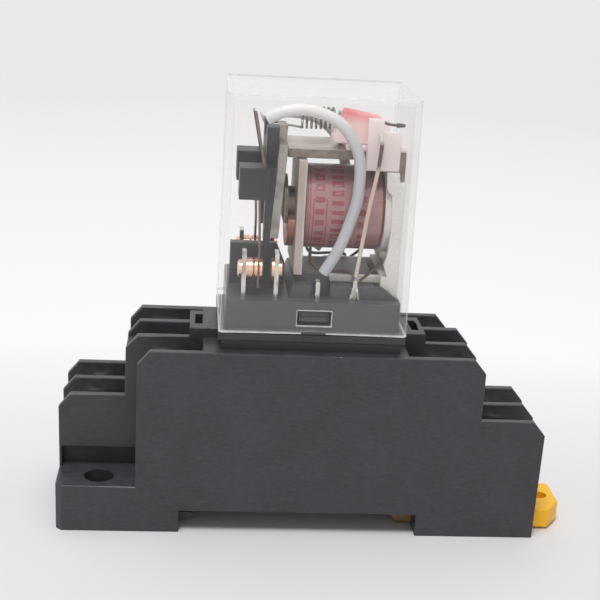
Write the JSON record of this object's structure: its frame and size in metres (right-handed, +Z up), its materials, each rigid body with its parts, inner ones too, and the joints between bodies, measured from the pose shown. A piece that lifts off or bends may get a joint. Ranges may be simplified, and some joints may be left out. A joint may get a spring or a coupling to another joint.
{
  "type": "eight-pin relay in a rail socket",
  "caption": "Plug-in changeover relay with a clear cover over its coil, armature and contacts, seated in a stepped screw-terminal socket that clips on a rail or screws to a panel.",
  "frame": {"origin": "midway between the two mounting holes, on the plane of the feet", "axes": "+X along the terminal rows toward the release slider, +Y across the socket toward the rear, +Z up toward the relay"},
  "size_m": [0.0766, 0.0226, 0.0648],
  "materials": {
    "socket_plastic": "satin",
    "slider_plastic": "satin",
    "screw_steel": "satin",
    "strip_brass": "satin",
    "base_plastic": "satin",
    "clear_cover": "gloss",
    "pin_metal": "satin",
    "contact_metal": "satin",
    "bobbin_plastic": "satin",
    "winding_copper": "satin",
    "coil_tape": "gloss",
    "magnet_iron": "satin",
    "ring_copper": "satin",
    "spring_steel": "satin",
    "lamp_plastic": "gloss",
    "holder_plastic": "satin",
    "coil_wire": "satin",
    "lead_insulation": "satin",
    "sleeve_plastic": "satin",
    "card_plastic": "satin",
    "blade_bronze": "satin"
  },
  "bodies": {
    "socket": {"socket_body": "socket_plastic", "bottom_plate": "socket_plastic", "terminal_screws": "screw_steel", "clamp_washers": "screw_steel", "contact_strip_nc_front": "strip_brass", "contact_strip_nc_rear": "strip_brass", "contact_strip_no_front": "strip_brass", "contact_strip_no_rear": "strip_brass", "contact_strip_com_front": "strip_brass", "contact_strip_com_rear": "strip_brass", "contact_strip_coil_front": "strip_brass", "contact_strip_coil_rear": "strip_brass"},
    "release_slider": {"release_slider": "slider_plastic"},
    "relay": {"relay_base": "base_plastic", "relay_cover": "clear_cover", "terminal_nc_front": "pin_metal", "terminal_nc_rear": "pin_metal", "terminal_no_front": "pin_metal", "terminal_no_rear": "pin_metal", "terminal_com_front": "pin_metal", "terminal_com_rear": "pin_metal", "terminal_coil_front": "pin_metal", "terminal_coil_rear": "pin_metal", "fixed_contacts": "contact_metal", "bobbin": "bobbin_plastic", "winding": "winding_copper", "coil_tape": "coil_tape", "core": "magnet_iron", "shading_ring": "ring_copper", "yoke": "magnet_iron", "return_spring": "spring_steel", "lamp": "lamp_plastic", "lamp_holder": "holder_plastic", "lamp_stub": "coil_wire", "coil_wires": "coil_wire", "lamp_lead_front": "lead_insulation", "lamp_lead_rear": "lead_insulation", "lead_sleeve_front": "sleeve_plastic", "lead_sleeve_rear": "sleeve_plastic"},
    "armature": {"armature": "magnet_iron", "contact_card": "card_plastic", "moving_spring_front": "blade_bronze", "moving_spring_rear": "blade_bronze", "moving_contacts": "contact_metal"}
  },
  "joints": [
    {"name": "slider_slide", "type": "slide", "parent": "socket", "child": "release_slider", "axis": [1, 0, 0], "range_m": [0, 0.0036], "stiffness_N_per_m": 100},
    {"name": "relay_lift", "type": "slide", "parent": "socket", "child": "relay", "axis": [0, 0, 1], "range_m": [0, 0.012]},
    {"name": "armature_swing", "type": "hinge", "parent": "relay", "child": "armature", "pos_m": [-0.004, 0, 0.0567], "axis": [0, -1, 0], "range_deg": [0, 3.15], "stiffness_Nm_per_rad": 0.002, "springref_deg": -5.73}
  ]
}
